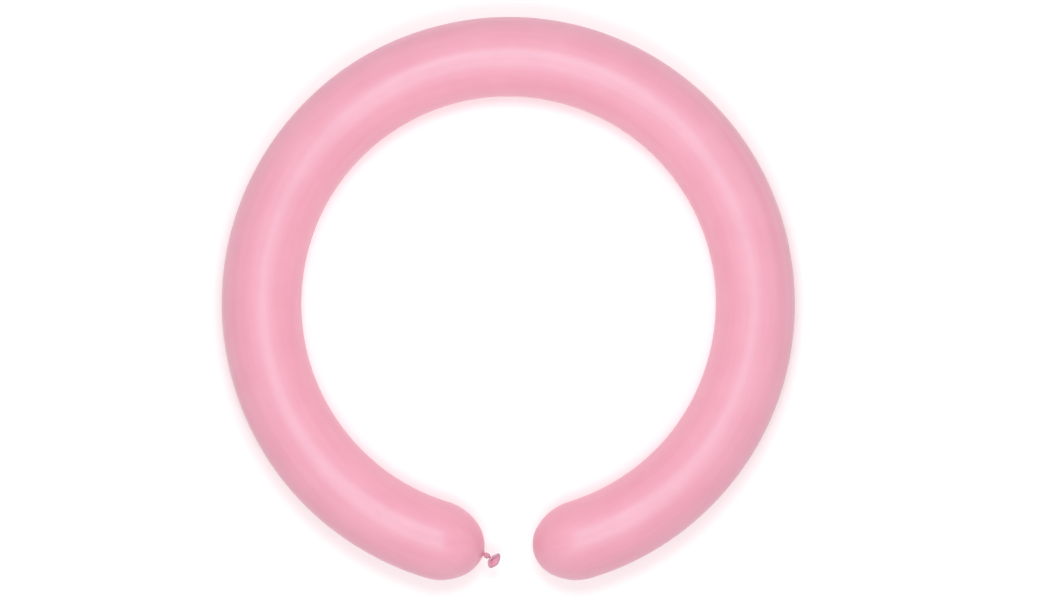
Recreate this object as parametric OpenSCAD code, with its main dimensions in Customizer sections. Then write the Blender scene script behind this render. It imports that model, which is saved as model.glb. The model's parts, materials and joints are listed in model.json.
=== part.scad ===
// A long latex balloon, blown up, tied at the neck and bent into an open ring
// that lies flat. The film is drawn in zones: rigid arcs with a short bending
// zone between each two, a domed end at each side of the gap, and the tied neck.
// The origin is on the floor under the middle of the ring's outline. The gap
// faces -Y, and the neck is on the -X side of it. Millimetres.

/* [Tube] */
// Diameter of the blown-up tube
tube_d = 76; // [60:0.1:95]
// Thickness of the wall
wall = 1; // [0.6:0.1:2]

/* [Ring] */
// Radius of the ring, measured to the middle of the tube
bend_r = 236; // [190:1:300]
// Clear gap between the two domed ends
end_gap = 46; // [36:0.1:80]
// Number of bending zones, an even number
bends = 18; // [12:2:20]
// Turn that each bending zone takes up, in degrees
bend_zone = 3.4; // [3:0.1:5]

/* [Domed ends] */
// How much longer a dome is than a half ball of the tube's size
dome_stretch = 8; // [4:0.5:14]
// How much smaller the radius of a dome's tip is than the tube's
tip_tighter = 5.5; // [3:0.5:8]

/* [Neck] */
// Diameter of the gathered neck where it leaves the dome and runs through the knot
stem_d = 2.4; // [2:0.1:4]
// Radius of the hollow curve where the dome's film gathers into the neck
gather_r = 2.6; // [2:0.1:6]
// Turn of the tied neck away from the dome's axis, in degrees
neck_turn = 10; // [0:1:20]
// Thickness of one turn of the knot
knot_turn_d = 1.8; // [1.2:0.1:2.4]
// Number of turns side by side in the knot
knot_turns = 2; // [2:1:4]

/* [Mouth] */
// Outer diameter of the rolled rim
mouth_d = 15.6; // [12:0.1:22]
// Thickness of the rolled rim's bead
bead_d = 1.8; // [1.2:0.1:2.4]
// Thickness of the flared wall
flare_wall = 0.6; // [0.4:0.1:1]
// Turn of the mouth away from the neck's axis, seen from above, in degrees
mouth_turn = 8.5; // [0:0.5:20]
// Lift of the mouth above the floor's plane, in degrees
mouth_lift = 37; // [0:1:45]

/* [Clearances] */
// Play between a bending zone and the arcs beside it
zone_play = 0.1; // [0.05:0.05:0.5]
// Play between the gathered film and the stem that swings on it
stem_play = 0.4; // [0.3:0.05:1]
// Play between the strand's end and the mouth that nods on it
mouth_play = 0.3; // [0.2:0.05:1]

/* [Hidden] */
$fn = 96;
tube_r = tube_d / 2;
arcs = bends + 1;
film_pink = [0.96, 0.69, 0.76];
zone_pink = [0.93, 0.63, 0.71];
neck_pink = [0.88, 0.55, 0.65];
knot_pink = [0.82, 0.50, 0.60];

// A dome is a shoulder arc that runs on from the tube and a tip arc inside it.
dome_len = tube_r + dome_stretch;
tip_r = tube_r - tip_tighter;
tip_x = dome_len - tip_r;
shoulder_r = (pow(tip_x, 2) + pow(tube_r, 2) - pow(tip_r, 2)) / (2 * tip_tighter);
shoulder_in = shoulder_r - tube_r;

// Half the turn that is missing from the ring, so that the tips stand end_gap apart.
gap_half = asin((end_gap / 2 + tip_r) / sqrt(pow(bend_r, 2) + pow(tip_x, 2)))
         + atan(tip_x / bend_r);
arc_zone = (360 - 2 * gap_half - bends * bend_zone) / arcs;
pitch = arc_zone + bend_zone;
play_turn = 2 * atan(zone_play / bend_r);

// The ring's outline reaches unequally far in Y, and the origin is at its middle.
reach_back = bend_r + tube_r;
reach_front = (bend_r - shoulder_in) * cos(gap_half) + shoulder_r;
ring_y = (reach_front - reach_back) / 2;

// Along the neck, from the dome's tip.
stem_r = stem_d / 2;
gather_edge = stem_r + gather_r;
cut_x = tip_x + sqrt(pow(tip_r, 2) - pow(gather_edge, 2));
stem_start = cut_x + gather_r - dome_len + stem_play;
knot_nip = 0.1;
knot_pitch = knot_turn_d - knot_nip;
knot_start = stem_start + stem_play;
knot_len = knot_pitch * (knot_turns - 1) + knot_turn_d;
knot_ring_r = stem_r + knot_turn_d / 2 - knot_nip;
stem_end = knot_start + knot_len;

// The throat is as thick as the strand, and its edge sweeps its own radius as it nods.
mouth_x = stem_end + stem_r + mouth_play;
throat_r = stem_r - flare_wall;

// The flare is a quarter of a ring's inside, from the throat out to the bead.
bead_sink = 0.15;
flare_r = mouth_d / 2 - bead_d + bead_sink - throat_r;

function two_digits(i) = i < 10 ? str("0", i) : str(i);
function arc_name(i) = str("film_arc_", two_digits(i));
function bend_name(i) = str("film_bend_", two_digits(i));

// ---- places ----

// The ring's own frame: its centre, at the height of the tube's middle
module on_ring() translate([0, ring_y, tube_r]) children();

// The root of the dome on the neck's side, with +X along the dome's axis
module at_neck_dome()
    on_ring() translate([-bend_r * sin(gap_half), -bend_r * cos(gap_half), 0])
        rotate([0, 0, -gap_half]) children();

// The dome's tip, with +X along the tied neck
module at_neck() at_neck_dome() translate([dome_len, 0, 0]) rotate([0, 0, -neck_turn]) children();

// The point that the mouth nods about, with +X out through the mouth
module at_mouth()
    at_neck() translate([mouth_x, 0, 0]) rotate([0, -mouth_lift, -mouth_turn]) children();

// Turns an outline about the X axis; the outline's own X is the radius
module turned() rotate([0, 90, 0]) rotate_extrude() children();

// ---- the film ----

// One stretch of the ring, about the direction mid and sweep degrees long
module tube_arc(mid, sweep)
    on_ring() rotate([0, 0, mid - sweep / 2])
        rotate_extrude(angle = sweep) translate([bend_r, 0]) difference() {
            circle(r = tube_r);
            circle(r = tube_r - wall);
        }

// Arc i, counted from the neck's end; the middle one is the crown of the ring
module film_arc(i) color(film_pink) tube_arc(90 + pitch * ((arcs + 1) / 2 - i), arc_zone);

// Bending zone i, between arcs i and i + 1
module film_bend(i)
    color(zone_pink) tube_arc(90 + pitch * (arcs / 2 - i), bend_zone - play_turn);

// Half the outline of a dome, inset by the given depth
module dome_half(inset) {
    far = 2 * shoulder_r;
    intersection() {
        union() {
            intersection() {
                translate([-shoulder_in, 0]) circle(r = shoulder_r - inset);
                polygon([[-shoulder_in, 0], [far, 0],
                         [far, tip_x * (far + shoulder_in) / shoulder_in]]);
            }
            translate([0, tip_x]) circle(r = tip_r - inset);
        }
        square([far, far]);
    }
}

// A dome's wall up to the given distance along its axis
module dome_shell(upto)
    turned() intersection() {
        difference() {
            dome_half(0);
            dome_half(wall);
        }
        square([tube_d, upto]);
    }

module tip_dome() color(film_pink) mirror([1, 0, 0]) at_neck_dome() dome_shell(2 * dome_len);

module neck_dome() color(film_pink) at_neck_dome() dome_shell(cut_x);

// The dome's film drawn together into the neck, a solid with a hollow flank
module neck_gather()
    color(neck_pink) at_neck_dome() turned() translate([0, cut_x]) difference() {
        square([gather_edge, gather_r]);
        translate([gather_edge, gather_r]) circle(r = gather_r);
    }

// ---- the tied neck ----

// The neck's film, gathered into one strand that runs through the knot
module neck_stem()
    color(neck_pink) at_neck() translate([stem_start, 0, 0])
        rotate([0, 90, 0]) cylinder(h = stem_end - stem_start, r = stem_r);

// The turns of the knot, drawn tight on the strand
module knot()
    color(knot_pink) at_neck() turned() difference() {
        for (i = [0 : knot_turns - 1])
            translate([knot_ring_r, knot_start + knot_turn_d / 2 + i * knot_pitch])
                circle(d = knot_turn_d);
        square([stem_r, mouth_x]);
    }

// ---- the mouth ----

// The open end past the knot, flared, with its throat pinched shut
module mouth_flare() color(neck_pink) at_mouth() turned() {
    intersection() {
        translate([throat_r + flare_r, 0]) difference() {
            circle(r = flare_r);
            circle(r = flare_r - flare_wall);
        }
        square([throat_r + flare_r, flare_r]);
    }
    square([throat_r + flare_wall / 2, flare_wall]);
}

// The bead at the edge of the mouth, where the film was rolled on itself
module rolled_rim()
    color(knot_pink) at_mouth() turned() difference() {
        translate([mouth_d / 2 - bead_d / 2, flare_r - flare_wall / 2]) circle(d = bead_d);
        square([throat_r + flare_r, 2 * flare_r]);
    }

// ---- what is drawn ----

for (i = [1 : arcs]) film_arc(i);
for (i = [1 : bends]) film_bend(i);
tip_dome();
neck_dome();
neck_gather();
neck_stem();
knot();
mouth_flare();
rolled_rim();
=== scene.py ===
"""A long latex balloon, blown up, tied at the neck and bent into an open ring.

The sections follow the balloon from the blown-up film to the gathered neck, the knot, the
flared mouth and its rolled rim. The studio comes last. Metres, in the frame's own axes.
"""
import json

import bpy
import numpy as np
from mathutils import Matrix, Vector


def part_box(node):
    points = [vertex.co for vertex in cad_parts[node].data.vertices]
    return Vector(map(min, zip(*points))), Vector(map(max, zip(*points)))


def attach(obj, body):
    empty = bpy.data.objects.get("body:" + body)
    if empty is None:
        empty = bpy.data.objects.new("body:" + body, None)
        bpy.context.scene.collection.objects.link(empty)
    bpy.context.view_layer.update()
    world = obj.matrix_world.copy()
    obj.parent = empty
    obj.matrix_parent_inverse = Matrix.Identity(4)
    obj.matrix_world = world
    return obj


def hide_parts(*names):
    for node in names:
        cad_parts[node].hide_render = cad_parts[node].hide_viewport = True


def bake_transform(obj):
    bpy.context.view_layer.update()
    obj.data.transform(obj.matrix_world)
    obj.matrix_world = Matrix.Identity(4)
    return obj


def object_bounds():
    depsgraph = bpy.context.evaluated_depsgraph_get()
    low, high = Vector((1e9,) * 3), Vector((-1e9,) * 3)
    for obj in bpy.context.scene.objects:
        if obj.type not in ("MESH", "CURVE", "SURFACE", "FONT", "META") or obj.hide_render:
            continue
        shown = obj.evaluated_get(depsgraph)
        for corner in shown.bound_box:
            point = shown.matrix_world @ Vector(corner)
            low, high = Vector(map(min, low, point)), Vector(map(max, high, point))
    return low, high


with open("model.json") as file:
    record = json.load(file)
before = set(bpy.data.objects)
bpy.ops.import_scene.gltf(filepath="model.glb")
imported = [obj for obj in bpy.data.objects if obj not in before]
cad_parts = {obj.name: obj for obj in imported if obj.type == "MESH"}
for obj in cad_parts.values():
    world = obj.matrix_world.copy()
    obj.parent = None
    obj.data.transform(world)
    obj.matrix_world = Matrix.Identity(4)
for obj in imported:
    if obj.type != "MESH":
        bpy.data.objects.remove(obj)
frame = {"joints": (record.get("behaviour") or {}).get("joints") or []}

cad_low, cad_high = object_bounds()


# ---------------------------------------------------------------------------------------
# The blown-up film. One tube of natural rubber latex, dipped on a former and blown up thin
# and tight into a ring, with a dome on each side of its gap. It is drawn in stretches that
# each span one joint, from the middle of one arc to the middle of the next.

MM = 0.001
UP = np.array([0, 0, 1.0])
COLUMNS = 160            # points round the tube
ROWS = 40                # points along one stretch of the ring
DOME_ROWS = 34           # points along a dome
FILM_DRAWN = 0.3 * MM    # the wall as drawn; the real film is about 0.01 mm thick
DOME_STRETCH = 8 * MM    # a dome is this much longer than a half ball of the tube's size
TIP_TIGHTER = 5.5 * MM   # a dome's tip has a radius this much under the tube's
UNEVEN = 0.18 * MM       # how far the blown-up tube swells and narrows along its length
LONG_SWELL = 83 * MM     # length over which the longer swell turns by one radian
SHORT_SWELL = 31 * MM    # the same for the shorter swell
FOLD_DEPTH = 0.22 * MM   # the folds round the neck, at their deepest
FOLDS_START = 17 * MM    # radius on the dome where the folds begin
FOLDS_FULL = 5 * MM      # radius within which they are at their full depth
NECK_HOLE_R = 8 * MM     # radius on the dome where the gathered film takes over
SEAM_CLEAR = 0.98        # share of the way from the hinge to a stretch's nearest seam
LAST_SLOPE = np.radians(89.2)    # lean of a closed dome's last ring, just short of its pole

tube_r = cad_high.z / 2
bend_r = cad_high.x - tube_r
ring_y = cad_high.y - cad_high.x
dome_len = tube_r + DOME_STRETCH
tip_r = tube_r - TIP_TIGHTER
tip_x = dome_len - tip_r
shoulder_r = (tip_x**2 + tube_r**2 - tip_r**2) / (2 * TIP_TIGHTER)
shoulder_in = shoulder_r - tube_r
knee = np.arctan2(tip_x, shoulder_in)
half_gap = (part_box("tip_dome")[0].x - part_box("neck_dome")[1].x) / 2
ring_end = (np.pi - np.arcsin((half_gap + tip_r) / np.hypot(bend_r, tip_x))
            - np.arctan(tip_x / bend_r))
around = np.linspace(0, 2 * np.pi, COLUMNS, endpoint=False)


def ease(low, high, value):
    """0 below low and 1 above high, with the cubic 3t^2 - 2t^3 between."""
    t = np.clip((value - low) / (high - low), 0, 1)
    return t * t * (3 - 2 * t)


def pleats(angle):
    """Folds round the neck, from -1 in a valley to 1 on a ridge: three waves of 9, 14 and
    23 folds, squared below the ridges so that the valleys are the narrower."""
    wave = (0.55 * np.cos(9 * angle + 0.7) + 0.30 * np.cos(14 * angle + 2.1)
            + 0.15 * np.cos(23 * angle + 4.0))
    return 1 - 2 * ((1 - wave) / 2) ** 2


def dome_profile(slope):
    """Distance along the axis and radius on a dome whose surface leans by slope: a
    shoulder arc that runs on from the tube, and a tighter tip arc past the knee."""
    on_tip = slope > knee
    along = np.where(on_tip, tip_x + tip_r * np.sin(slope), shoulder_r * np.sin(slope))
    radius = np.where(on_tip, tip_r * np.cos(slope), shoulder_r * np.cos(slope) - shoulder_in)
    return along, radius


def film_points(turn, slope):
    """Rings of the film. turn is the angle from the crown, negative towards the neck, and
    slope leans from 0 on the ring to a quarter turn at a dome's pole. Each ring is
    middle + along * axis + radius * (cos a * outward + sin a * up). Returns the rings,
    and the same rings unbent: straight along X, for patterns that follow the film."""
    turn, slope = (np.asarray(v, float)[:, None] for v in (turn, slope))
    side = np.sign(turn)
    along, radius = dome_profile(slope)
    length = bend_r * turn + side * along
    swell = UNEVEN * (0.6 * np.sin(length / LONG_SWELL + 1.0)
                      + 0.4 * np.sin(length / SHORT_SWELL))
    radius = radius + swell * np.cos(slope) ** 2 - UNEVEN * np.cos(slope) ** 2
    folded = ease(FOLDS_START, FOLDS_FULL, radius) * (slope > 0)
    fold = (side < 0) * FOLD_DEPTH * folded * pleats(around)
    along, radius = along + fold * np.sin(slope), radius + fold * np.cos(slope)
    outward = np.stack([np.sin(turn), np.cos(turn), 0 * turn], axis=-1)
    axis = side[..., None] * np.stack([np.cos(turn), -np.sin(turn), 0 * turn], axis=-1)
    middle = bend_r * outward + np.array([0, ring_y, tube_r])
    cos_a, sin_a = np.cos(around)[:, None], np.sin(around)[:, None]
    rings = (middle + along[..., None] * axis
             + radius[..., None] * (cos_a * outward + sin_a * UP))
    unbent = np.stack(np.broadcast_arrays(
        bend_r * turn + side * along, radius * np.cos(around), radius * np.sin(around)), -1)
    return rings, unbent


def skin(name, rings, unbent, depth, closed):
    """A closed mesh over rings of points: quads between each ring and the next. closed is
    "loop" where the last ring meets the first, or "caps" where a fan to one point closes
    each end. unbent and depth go with the points as film_place and film_depth."""
    count, columns = rings.shape[:2]
    points, place = rings.reshape(-1, 3), unbent.reshape(-1, 3)
    shade = np.broadcast_to(depth, (count, columns)).reshape(-1)
    index = np.arange(count * columns).reshape(count, columns)
    first, second = (index, np.roll(index, -1, 0)) if closed == "loop" else (index[:-1], index[1:])
    quads = np.stack([first, np.roll(first, -1, 1), np.roll(second, -1, 1), second], -1)
    faces = quads.reshape(-1, 4).tolist()
    if closed == "caps":
        poles = count * columns + np.arange(2)
        points, place = (np.vstack([grid.reshape(-1, 3), grid[0].mean(0), grid[-1].mean(0)])
                         for grid in (rings, unbent))
        shade = np.append(shade, [shade[0], shade[-1]])
        for pole, ring in ((poles[0], index[0][::-1]), (poles[1], index[-1])):
            fan = np.stack([ring, np.roll(ring, -1), np.full(columns, pole)], -1)
            faces += fan.tolist()
    # The quads' signed volume, times six: where it is negative, the faces look inwards
    a, b, c, d = (points[quads.reshape(-1, 4)[:, k]] for k in range(4))
    volume = np.einsum("ij,ij->", a, np.cross(b, c) + np.cross(c, d))
    if volume < 0:
        faces = [face[::-1] for face in faces]
    mesh = bpy.data.meshes.new(name)
    mesh.from_pydata(points.tolist(), [], faces)
    mesh.attributes.new("film_place", "FLOAT_VECTOR", "POINT").data.foreach_set(
        "vector", place.astype(np.float32).ravel())
    mesh.attributes.new("film_depth", "FLOAT", "POINT").data.foreach_set(
        "value", shade.astype(np.float32))
    mesh.polygons.foreach_set("use_smooth", np.ones(len(mesh.polygons), bool))
    mesh.set_sharp_from_angle(angle=np.radians(60))
    piece = bpy.data.objects.new(name, mesh)
    bpy.context.collection.objects.link(piece)
    return piece


def walled(name, outer, unbent, depth, wall, closed):
    """A film of one thickness: the inner side is the outer one moved back along its
    normals, and the rings run down the inner side and back up the outer one."""
    along = np.gradient(outer, axis=0)
    across = np.roll(outer, -1, 1) - np.roll(outer, 1, 1)
    normal = np.cross(across, along)
    normal /= np.linalg.norm(normal, axis=-1, keepdims=True)
    middle = outer.mean(1, keepdims=True)
    normal *= np.sign(((outer - middle) * normal).sum(-1).mean())
    inner = outer - wall * normal
    depth = np.broadcast_to(depth, outer.shape[:2])
    return skin(name, np.concatenate([inner[::-1], outer]),
                np.concatenate([unbent[::-1], unbent]),
                np.concatenate([depth[::-1], depth]), closed)


def srgb(code):
    """A hex colour such as "f5aec1", as linear red, green, blue and 1."""
    value = np.array([int(code[k:k + 2], 16) for k in (0, 2, 4)]) / 255
    linear = np.where(value <= 0.04045, value / 12.92, ((value + 0.055) / 1.055) ** 2.4)
    return (*linear.tolist(), 1.0)


def add(tree, kind, inputs=None, **settings):
    """Adds one shader node. inputs are values, or the sockets that feed them."""
    made = tree.nodes.new(kind)
    for name, value in settings.items():
        setattr(made, name, value)
    for name, value in (inputs or {}).items():
        if isinstance(value, bpy.types.NodeSocket):
            tree.links.new(value, made.inputs[name])
        else:
            made.inputs[name].default_value = value
    return made


CLOUD_SCALE = 28.0       # cloudy thickness, in patches about 35 mm across
BLOOM_SCALE = 480.0      # powder bloom, in flecks about 2 mm across, coarser than the real dust
PORE_SCALE = 1100.0      # the grain left by the former's finish, about 0.9 mm
STREAK_SHARE, CLOUD_SHARE, TONE_START = 0.80, 0.60, -0.58
SMOOTHER, ROUGHER = 0.05, 0.06    # how far the bloom moves the roughness each way


def latex(name, pale, deep, thick, roughness, grain, streaks):
    """Dipped natural rubber latex: opaque and pastel, satin from the powder it is tumbled
    in, paler where it is stretched and deeper where it is thick. Soft streaks run along
    the tube, where the dip drained off the former, and a fine bloom mottles the gloss.
    The tone is TONE_START + STREAK_SHARE * streak + CLOUD_SHARE * cloud + film_depth, from
    pale at 0 to deep at 1, and a film_depth past 1 goes on to thick at 2."""
    material = bpy.data.materials.new(name)
    material.use_nodes = True
    tree = material.node_tree
    tree.nodes.clear()
    place = add(tree, "ShaderNodeAttribute", attribute_name="film_place").outputs["Vector"]
    depth = add(tree, "ShaderNodeAttribute", attribute_name="film_depth").outputs["Fac"]
    streak_place = add(tree, "ShaderNodeMapping", {"Vector": place, "Scale": streaks})
    streak = add(tree, "ShaderNodeTexNoise", {
        "Vector": streak_place.outputs["Vector"], "Scale": 1.0, "Detail": 3.0,
        "Roughness": 0.55}).outputs["Fac"]
    cloud = add(tree, "ShaderNodeTexNoise", {
        "Vector": place, "Scale": CLOUD_SCALE, "Detail": 2.0}).outputs["Fac"]
    bloom = add(tree, "ShaderNodeTexNoise", {
        "Vector": place, "Scale": BLOOM_SCALE, "Detail": 4.0,
        "Roughness": 0.6}).outputs["Fac"]
    tone = add(tree, "ShaderNodeMath", {0: streak, 1: STREAK_SHARE, 2: TONE_START},
               operation="MULTIPLY_ADD")
    tone = add(tree, "ShaderNodeMath", {0: cloud, 1: CLOUD_SHARE, 2: tone.outputs[0]},
               operation="MULTIPLY_ADD")
    tone = add(tree, "ShaderNodeMath", {0: tone.outputs[0], 1: depth}, operation="ADD",
               use_clamp=True)
    colour = add(tree, "ShaderNodeMix", {
        "Factor": tone.outputs[0], "A": srgb(pale), "B": srgb(deep)}, data_type="RGBA")
    past_deep = add(tree, "ShaderNodeMath", {0: depth, 1: 1.0}, operation="SUBTRACT",
                    use_clamp=True)
    colour = add(tree, "ShaderNodeMix", {
        "Factor": past_deep.outputs[0], "A": colour.outputs["Result"], "B": srgb(thick)},
        data_type="RGBA")
    gloss = add(tree, "ShaderNodeMapRange", {
        "Value": bloom, "From Min": 0.3, "From Max": 0.7,
        "To Min": roughness - SMOOTHER, "To Max": roughness + ROUGHER})
    pores = add(tree, "ShaderNodeTexNoise", {
        "Vector": place, "Scale": PORE_SCALE, "Detail": 3.0, "Roughness": 0.5}).outputs["Fac"]
    bump = add(tree, "ShaderNodeBump", {
        "Height": pores, "Strength": grain, "Distance": 0.05 * MM})
    # The pastel pink's red is nearly full already, so the gloss adds mostly green and blue
    surface = add(tree, "ShaderNodeBsdfPrincipled", {
        "Base Color": colour.outputs["Result"], "Roughness": gloss.outputs["Result"],
        "Normal": bump.outputs["Normal"], "IOR": 1.52, "Subsurface Weight": 0.1,
        "Specular Tint": (0.2, 1.0, 1.0, 1.0),
        "Subsurface Radius": (1.0, 0.45, 0.5), "Subsurface Scale": 2 * MM})
    output = add(tree, "ShaderNodeOutputMaterial")
    tree.links.new(surface.outputs["BSDF"], output.inputs["Surface"])
    return material


def finish_with(piece, material):
    """Gives a piece its material."""
    piece.data.materials.append(material)


# Stretched latex: even and pale, with drained streaks about 160 mm long and 9 mm wide
blown_latex = latex("latex_blown_up", pale="f4a7ba", deep="ea93aa", thick="c5889f",
                    roughness=0.38, grain=0.25, streaks=(6, 110, 110))

bends = sorted(
    ((np.arctan2(j["pos_m"][0], j["pos_m"][1] - ring_y), j) for j in frame["joints"]
     if "_arm_open" in j["name"]), key=lambda pair: pair[0])
pitch = np.diff([turn for turn, _ in bends]).mean()
neck_hole_slope = np.arccos(NECK_HOLE_R / tip_r)
arc_count = len(bends) + 1


def tip_depth(slope):
    """How deep the colour is: 0.04 on the tube, and 0.5 more at a dome's pole, where the
    film stays a little thicker."""
    return 0.04 + 0.5 * ease(np.radians(45), np.radians(90), slope) ** 2


for number, (turn, joint) in enumerate(bends, start=1):
    turns = turn + np.linspace(-pitch / 2, pitch / 2, ROWS)
    slopes = np.zeros(ROWS)
    closed = "loop"
    stands_for = [f"film_bend_{number:02d}", f"film_arc_{number:02d}"]
    if number == 1:    # the neck's end: a dome, open where the gathered film takes over
        dome = np.linspace(0, neck_hole_slope, DOME_ROWS)[::-1]
        turns = np.concatenate([np.full(DOME_ROWS - 1, -ring_end),
                                np.linspace(-ring_end, turns[-1], 2 * ROWS)])
        slopes = np.concatenate([dome[:-1], np.zeros(2 * ROWS)])
        stands_for.append("neck_dome")
    if number == len(bends):    # the plain end: a closed dome
        dome = np.linspace(0, LAST_SLOPE, DOME_ROWS)
        turns = np.concatenate([np.linspace(turns[0], ring_end, 2 * ROWS),
                                np.full(DOME_ROWS - 1, ring_end)])
        slopes = np.concatenate([np.zeros(2 * ROWS), dome[1:]])
        closed = "caps"
        stands_for += [f"film_arc_{arc_count:02d}", "tip_dome"]
    rings, unbent = film_points(turns, slopes)
    film = walled(f"film_{number:02d}", rings, unbent, tip_depth(slopes)[:, None],
                  FILM_DRAWN, closed)
    finish_with(film, blown_latex)
    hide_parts(*stands_for)
    # How far either side of the hinge: SEAM_CLEAR of the way to the seam at the ring's inner side
    reach = SEAM_CLEAR * (bend_r - tube_r) * np.sin(pitch / 2)
    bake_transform(film)


# ---------------------------------------------------------------------------------------
# The gathered film. The last of the dome, the same latex less stretched, is drawn together
# by hand into the neck. Its fine folds deepen as it narrows, and its end is nipped by the knot.

GATHER_ROWS = 56
GATHER_WALL = 0.3 * MM
GATHERED_R = 1.25 * MM    # the gathered film where it enters the knot
GATHER_END = 3.4 * MM     # its end, past the dome's tip, under the knot's first turn
LEAD_OUT = 6.4 * MM       # how far the curve is led on along the dome
LEAD_IN = 3.3 * MM        # how far it is led in along the neck
FOLD_SHARE = 0.14         # a fold's largest depth, as a share of the radius
TURN_FROM, TURN_TO = 0.2 * MM, 2.8 * MM    # past the tip, where it turns to the neck's way
NECK_DEPTH_AND_SHADE = 1.7          # depth of colour at the knot: the less stretched film, partly painted shade
VALLEY_PAINTED_SHADE = 0.25       # painted shade: how much deeper the valleys are there

joint_named = {joint["name"]: joint for joint in frame["joints"]}
dome_tip = np.array(joint_named["neck_swing"]["pos_m"])
mouth_root = np.array(joint_named["mouth_nod"]["pos_m"])
neck_way = (mouth_root - dome_tip) / np.linalg.norm(mouth_root - dome_tip)
dome_way = np.array([-np.cos(ring_end), -np.sin(ring_end), 0])
dome_out = np.array([-np.sin(ring_end), np.cos(ring_end), 0])
neck_turn = np.arctan2(neck_way @ dome_out, neck_way @ dome_way)


def bezier(corners, t):
    """A cubic curve from the first corner to the last, led by the two between:
    the corners weighted by (1-t)^3, 3t(1-t)^2, 3t^2(1-t) and t^3."""
    t = t[:, None]
    weights = ((1 - t) ** 3, 3 * t * (1 - t) ** 2, 3 * t**2 * (1 - t), t**3)
    return sum(w * np.array(c) for w, c in zip(weights, corners))


def gathered_points(steps):
    """The gathered film as rings, one for each step from 0 on the dome to 1 in the knot.
    The profile is a cubic curve that leaves along the dome and arrives along the neck. The
    folds stand on it, and past the dome's tip it is turned about the tip to the neck."""
    edge_along, edge_radius = dome_profile(np.array([neck_hole_slope]))
    lean = np.array([np.cos(neck_hole_slope), -np.sin(neck_hole_slope)])
    edge = np.array([edge_along[0], edge_radius[0]])
    end = np.array([dome_len + GATHER_END, GATHERED_R])
    profile = bezier([edge, edge + LEAD_OUT * lean, end - (LEAD_IN, 0), end], steps)
    way = np.gradient(profile, axis=0)
    way /= np.linalg.norm(way, axis=1, keepdims=True)
    along, radius = profile[:, :1], profile[:, 1:]
    depth = np.minimum(FOLD_DEPTH * ease(FOLDS_START, FOLDS_FULL, radius), FOLD_SHARE * radius)
    fold = depth * pleats(around)
    along = along - fold * way[:, 1:] - dome_len
    radius = radius + fold * way[:, :1]
    turn = neck_turn * ease(TURN_FROM, TURN_TO, along)
    out, rise = radius * np.cos(around), radius * np.sin(around)
    turned_along = along * np.cos(turn) - out * np.sin(turn)
    turned_out = along * np.sin(turn) + out * np.cos(turn)
    rings = (dome_tip + turned_along[..., None] * dome_way
             + turned_out[..., None] * dome_out + rise[..., None] * UP)
    ring_length = -bend_r * ring_end - dome_len - along
    return rings, np.stack([ring_length, out, rise], -1), fold / depth


gather_steps = np.linspace(0, 1, GATHER_ROWS)
rings, unbent, ridge = gathered_points(gather_steps)
# Deeper in colour down the neck, for the less stretched film and partly as painted
# shade, and painted shade in the valleys between the folds
edge_depth, gather_share = tip_depth(neck_hole_slope), gather_steps[:, None]
depth = (edge_depth + (NECK_DEPTH_AND_SHADE - edge_depth) * gather_share**1.6
         - VALLEY_PAINTED_SHADE * ridge * gather_share)
gathered = walled("gathered_neck", rings, unbent, depth, GATHER_WALL, "loop")
finish_with(gathered, blown_latex)
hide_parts("neck_gather")
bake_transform(gathered)


# ---------------------------------------------------------------------------------------
# The neck through the knot. The whole width of the film is twisted by hand into one strand
# of unstretched latex, which runs through the turns of the knot and opens into the mouth.

STRAND_ROWS = 48
STRAND_COLUMNS = 72
STRAND_R = 0.8 * MM
STRAND_START, STRAND_LENGTH = 2.6, 4.9    # millimetres, from the dome's tip
STRAND_TWIST = 2.2                        # turn of the folds along the strand, in radians
MEAN_DEPTH, FOLD_PAINTED_SHADE = 0.5, 0.35       # of the colour: painted light on the folds' ridges, painted shade in their valleys
strand_round = np.linspace(0, 2 * np.pi, STRAND_COLUMNS, endpoint=False)


def strand(name, path, across, over, half_width, half_height, twist, folds, closed):
    """A twisted, pleated strand carried along a path. Each section is an oval with the
    half width along across and the half height along over, times 1 + folds * pleats of
    the angle plus the twist so far. Both ends are closed to a point."""
    turn = strand_round + np.asarray(twist)[:, None]
    ridge = pleats(turn)
    swell = 1 + folds * ridge
    side = half_width[:, None] * swell * np.cos(strand_round)
    rise = half_height[:, None] * swell * np.sin(strand_round)
    rings = path[:, None] + side[..., None] * across[:, None] + rise[..., None] * over[:, None]
    length = np.append(0, np.cumsum(np.linalg.norm(np.diff(path, axis=0), axis=1)))
    unbent = np.stack(np.broadcast_arrays(length[:, None], side, rise), -1)
    # The folds' ridges paler and their valleys deeper: painted light and painted shade
    return skin(name, rings, unbent, MEAN_DEPTH - FOLD_PAINTED_SHADE * ridge, closed)


neck_out = -np.cross(neck_way, UP)
steps = np.linspace(0, 1, STRAND_ROWS)
strand_path = dome_tip + np.outer((STRAND_START + STRAND_LENGTH * steps) * MM, neck_way)
# Even for most of its length, and rounded off to a point at both ends
strand_r = STRAND_R * np.sqrt(1 - (2 * steps - 1) ** 8 + 1e-3)
steady = np.ones((STRAND_ROWS, 1))
stem = strand("neck_strand", strand_path, steady * neck_out, steady * UP, strand_r, strand_r,
              STRAND_TWIST * steps, 0.12, "caps")
# Latex pressed hard: thick and deep, greyer as painted shade, duller than the tight film,
# finely streaked
knot_latex_and_shade = latex("latex_knotted_painted_shade", pale="ebb0c2", deep="bf859e", thick="b3788f",
                   roughness=0.48, grain=0.35, streaks=(60, 900, 900))
finish_with(stem, knot_latex_and_shade)
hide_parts("neck_stem")
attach(stem, "tied_neck")


# ---------------------------------------------------------------------------------------
# The knot. The strand of latex is taken round itself and pulled tight by hand. Its turns lie
# hard against each other, flattened where they press, and both ends dive into the middle.

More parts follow.
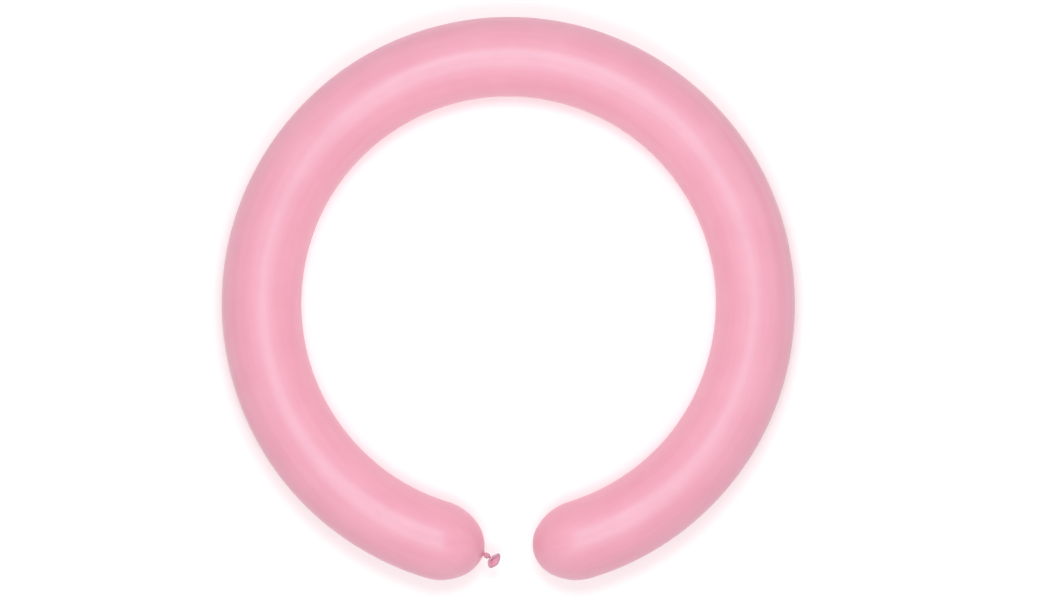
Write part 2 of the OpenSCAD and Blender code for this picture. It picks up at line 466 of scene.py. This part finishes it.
KNOT_ROWS = 220
KNOT_TURNS = 2.7
TURN_HALF_WIDTH = 0.98 * MM     # of one turn, along the neck
TURN_HALF_HEIGHT = 0.86 * MM    # of one turn, away from the neck
TURN_REACH = 1.95 * MM          # from the neck's middle to the middle of a turn
KNOT_TILT = np.radians(9)       # the turns lean against the neck
KNOT_START = np.radians(200)    # where the first turn begins, round the neck
KNOT_TWIST = 5.0                # turn of the folds along the knot's strand, in radians
DIVE_SHARE = 0.14               # share of the length over which each end dives in

knot_low, knot_high = 1.9 * MM, 6.6 * MM    # from the dome's tip
steps = np.linspace(0, 1, KNOT_ROWS)
angle = 2 * np.pi * KNOT_TURNS * steps + KNOT_START
# Where an end dives in, the reach falls to about a third and the strand's size to half
dive = ease(0, DIVE_SHARE, steps) * ease(1, 1 - DIVE_SHARE, steps)
reach = TURN_REACH * (0.35 + 0.65 * dive) * (1 + 0.05 * np.sin(3 * angle + 0.5))
radial = np.cos(angle)[:, None] * neck_out + np.sin(angle)[:, None] * UP
middle = knot_low + TURN_HALF_WIDTH + (knot_high - knot_low - 2 * TURN_HALF_WIDTH) * ease(
    0.1, 0.9, steps)
middle = middle + reach * np.tan(KNOT_TILT) * np.cos(angle - 0.6)
knot_path = dome_tip + middle[:, None] * neck_way + reach[:, None] * radial
pressed = 1 + 0.10 * np.sin(2 * angle + 1.0)
knot = strand("knot_turns", knot_path, np.ones((KNOT_ROWS, 1)) * neck_way, radial,
              TURN_HALF_WIDTH * pressed * (0.5 + 0.5 * dive),
              TURN_HALF_HEIGHT / pressed * (0.5 + 0.5 * dive),
              KNOT_TWIST * steps, 0.09, "caps")
finish_with(knot, knot_latex_and_shade)
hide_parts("knot")
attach(knot, "tied_neck")


# ---------------------------------------------------------------------------------------
# The mouth. Past the knot the latex isn't stretched at all. It opens from a pinched throat,
# tied shut by the knot, into a small uneven trumpet whose folds fade out to the edge.

MOUTH_ROWS = 64
MOUTH_COLUMNS = 144
MOUTH_WALL = 0.35 * MM
THROAT_R = 1.2 * MM
THROAT_BACK = 2.4 * MM     # the throat starts this far back from the mouth's root
THROAT_SHARE = 0.34        # share of the steps that are the throat's
LAST_LEAN = np.radians(74)    # how far the flare has opened where the rim begins
THROAT_FOLD, FOLD_FADE = 0.17, 0.08        # millimetres: in the throat, and lost by the edge
BEND_FROM, BEND_TO = -1.6 * MM, 2.4 * MM   # along the mouth, where it bends to its own way

rim_low, rim_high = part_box("rolled_rim")
rim_middle = (np.array(rim_low) + np.array(rim_high)) / 2
mouth_deep = np.linalg.norm(rim_middle - mouth_root)
mouth_way = (rim_middle - mouth_root) / mouth_deep
bead_r = 0.9 * MM
edge_r = 7.8 * MM - bead_r
mouth_round = np.linspace(0, 2 * np.pi, MOUTH_COLUMNS, endpoint=False)
hinge_way = np.cross(neck_way, mouth_way)
hinge_way /= np.linalg.norm(hinge_way)


def mouth_points(steps):
    """The mouth as rings, one for each step from 0 in the knot to 1 at the rim. The first
    third is the throat. The rest is a trumpet that leans more and more: its length is
    the depth times sin(lean) and its radius grows by 1 - cos(lean). The middle line bends
    from the neck's direction to the mouth's, and the edge waves by up to a millimetre."""
    opening = np.clip((steps - THROAT_SHARE) / (1 - THROAT_SHARE), 0, 1)
    lean = LAST_LEAN * opening
    length = np.where(steps < THROAT_SHARE, -THROAT_BACK * (1 - steps / THROAT_SHARE),
                      mouth_deep * np.sin(lean) / np.sin(LAST_LEAN))
    grown = (1 - np.cos(lean)) / (1 - np.cos(LAST_LEAN))
    radius = THROAT_R + (edge_r - THROAT_R) * grown
    bend = ease(BEND_FROM, BEND_TO, length)[:, None]
    way = (1 - bend) * neck_way + bend * mouth_way
    way /= np.linalg.norm(way, axis=1, keepdims=True)
    stride = np.diff(length, prepend=length[0])[:, None]
    middle = mouth_root - THROAT_BACK * neck_way + np.cumsum(stride * way, axis=0)
    beside = np.cross(way, hinge_way)
    share, length, radius = grown[:, None], length[:, None], radius[:, None]
    ridge = pleats(mouth_round + 0.25 * opening[:, None])
    fold = (THROAT_FOLD - FOLD_FADE * share) * MM * ridge
    oval = 1 + share * (0.045 * np.cos(2 * mouth_round + 0.4)
                        + 0.02 * np.cos(5 * mouth_round + 1.0))
    wave = share**1.5 * MM * (0.45 * np.cos(2 * mouth_round - 0.9)
                              + 0.35 * np.cos(3 * mouth_round + 2.0)
                              + 0.12 * np.cos(7 * mouth_round))
    out = (radius * oval + fold) * np.cos(mouth_round)
    rise = (radius * oval + fold) * np.sin(mouth_round)
    rings = (middle[:, None] + wave[..., None] * way[:, None]
             + out[..., None] * hinge_way + rise[..., None] * beside[:, None])
    unbent = np.stack(np.broadcast_arrays(length + radius, out, rise), -1)
    return rings, unbent, ridge


mouth_steps = np.linspace(0, 1, MOUTH_ROWS)
rings, unbent, ridge = mouth_points(mouth_steps)
# Paler out to the edge, where the film is thin, with painted light on the ridges of the
# folds and painted shade in their valleys
depth = 0.45 - 0.28 * mouth_steps[:, None] - 0.2 * ridge * (1 - 0.6 * mouth_steps[:, None])
mouth = walled("mouth_flare_film", rings, unbent, depth, MOUTH_WALL, "loop")
# Latex as it came off the former: a deeper pink than the stretched film, and duller
mouth_latex = latex("latex_unstretched", pale="f2a3bc", deep="c67d9a", thick="b36c8a",
                    roughness=0.44, grain=0.3, streaks=(40, 500, 500))
finish_with(mouth, mouth_latex)
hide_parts("mouth_flare")
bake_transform(mouth)


# ---------------------------------------------------------------------------------------
# The rolled rim. At the factory the edge of the wet latex is rolled back on itself by
# brushes, into a bead a few turns thick at the mouth's edge. It is the thickest latex
# here, so the deepest, and its grey is painted shade. The roll's last lap leaves a fine
# groove, with painted shade in it.

RIM_STEPS = 168         # points round the mouth
RIM_ROUND = 28          # points round the bead
GROOVE_DEPTH = 0.16     # as a share of the bead's radius
GROOVE_WIDTH = 0.22     # round the bead, in radians, to where it has lost 63% of its depth
GROOVE_PAINTED_SHADE = 0.3      # the same for the painted shade in it, its deeper colour

rim_turn = np.linspace(0, 2 * np.pi, RIM_STEPS, endpoint=False)
edge = rings[-1]
edge_middle = edge.mean(0)
whole = np.linspace(0, 2 * np.pi, MOUTH_COLUMNS + 1)
edge_path = np.stack([np.interp(rim_turn, whole, np.append(edge[:, k], edge[0, k]))
                      for k in range(3)], -1)
edge_out = edge_path - edge_middle
edge_out -= (edge_out @ mouth_way)[:, None] * mouth_way
edge_out /= np.linalg.norm(edge_out, axis=1, keepdims=True)
section = np.linspace(0, 2 * np.pi, RIM_ROUND, endpoint=False)
groove_at = 2.5 + 0.35 * np.sin(2 * rim_turn + 0.8)[:, None]
apart = np.angle(np.exp(1j * (section - groove_at)))
bead = bead_r * (1 + 0.05 * np.sin(5 * rim_turn + 1.3)[:, None]
                 - GROOVE_DEPTH * np.exp(-(apart / GROOVE_WIDTH) ** 2))
rings = (edge_path[:, None] + (bead * np.cos(section))[..., None] * edge_out[:, None]
         + (bead * np.sin(section))[..., None] * mouth_way)
unbent = np.stack(np.broadcast_arrays(edge_r * rim_turn[:, None], bead * np.cos(section),
                                      bead * np.sin(section)), -1)
# Painted shade in the groove
depth = 0.35 + 0.5 * np.exp(-(apart / GROOVE_PAINTED_SHADE) ** 2)
rim = skin("rolled_rim_bead", rings, unbent, depth, "loop")
# Several laps of latex, rolled on each other: the thickest, so the deepest pink, greyed
# with painted shade
rim_latex_and_shade = latex("latex_rolled_painted_shade", pale="e4b3c3", deep="bd8aa0", thick="ad7c92",
                  roughness=0.42, grain=0.25, streaks=(200, 900, 900))
finish_with(rim, rim_latex_and_shade)
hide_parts("rolled_rim")
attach(rim, "mouth")


# ---------------------------------------------------------------------------------------
# The studio. A white light table, a broad softbox over the ring's middle, and two strip
# softboxes that lay the long highlights on the back and the front of the tube. The
# surround is brightest partway up and greyest at the horizon. The camera looks straight down.

WHITE = srgb("ffffff")
FLOOR_SIDE = 12.0
VIEW_WIDTH = 1.004       # metres across the picture at the height of the tube's middle
VIEW_X, VIEW_Y = 0.0158, -0.0014    # the camera's place over the ring
LENS, SENSOR = 85.0, 36.0
SKY_LOW, SKY_RISE, SKY_FALL = 0.33, 1.1, -0.95    # the surround's strength

half = FLOOR_SIDE / 2
floor_mesh = bpy.data.meshes.new("light_table")
floor_mesh.from_pydata([(-half, -half, 0), (half, -half, 0), (half, half, 0), (-half, half, 0)],
                       [], [(0, 1, 2, 3)])
floor = bpy.data.objects.new("light_table", floor_mesh)
bpy.context.collection.objects.link(floor)
# Matt opal acrylic, lit from below just enough to take the edge off the shadows
table_white = bpy.data.materials.new("matt_white_acrylic")
table_white.use_nodes = True
tree = table_white.node_tree
tree.nodes.clear()
sheet_surface = add(tree, "ShaderNodeBsdfPrincipled", {
    "Base Color": srgb("f0eeee"), "Roughness": 0.9, "Specular IOR Level": 0.1,
    "Emission Color": WHITE, "Emission Strength": 0.20})
sheet_out = add(tree, "ShaderNodeOutputMaterial")
tree.links.new(sheet_surface.outputs["BSDF"], sheet_out.inputs["Surface"])
floor_mesh.materials.append(table_white)

world = bpy.data.worlds.new("white_surround")
world.use_nodes = True
tree = world.node_tree
sky_way = add(tree, "ShaderNodeTexCoord").outputs["Generated"]
height = add(tree, "ShaderNodeSeparateXYZ", {"Vector": sky_way}).outputs["Z"]
# SKY_LOW + SKY_RISE * z + SKY_FALL * z^2 at height z, brightest about 35 degrees above level
slope = add(tree, "ShaderNodeMath", {0: height, 1: SKY_FALL, 2: SKY_RISE},
            operation="MULTIPLY_ADD")
strength = add(tree, "ShaderNodeMath", {0: slope.outputs[0], 1: height, 2: SKY_LOW},
               operation="MULTIPLY_ADD")
background = tree.nodes["Background"]
background.inputs["Color"].default_value = WHITE
tree.links.new(strength.outputs[0], background.inputs["Strength"])
bpy.context.scene.world = world


def softbox(name, width, depth, watts, place, in_gloss):
    """A rectangular softbox that faces the ring's middle from its place."""
    lamp = bpy.data.lights.new(name, "AREA")
    lamp.shape = "RECTANGLE"
    lamp.size, lamp.size_y, lamp.energy = width, depth, watts
    box = bpy.data.objects.new(name, lamp)
    box.location = place
    box.rotation_euler = (-Vector(place)).to_track_quat("-Z", "Y").to_euler()
    box.visible_glossy = in_gloss
    bpy.context.collection.objects.link(box)


softbox("middle_softbox", 1.4, 1.4, 2.4, (0, 0, 1.6), False)
softbox("back_strip", 0.46, 0.36, 6.6, (0, 0.37, 1.5), True)
softbox("front_strip", 0.5, 0.36, 4.8, (0, -0.39, 1.5), True)

camera = bpy.data.cameras.new("overhead_camera")
camera.lens, camera.sensor_width = LENS, SENSOR
camera_object = bpy.data.objects.new("overhead_camera", camera)
camera_object.location = (VIEW_X, VIEW_Y, tube_r + VIEW_WIDTH * LENS / SENSOR)
bpy.context.collection.objects.link(camera_object)
bpy.context.scene.camera = camera_object
bpy.context.scene.view_settings.view_transform = "Standard"
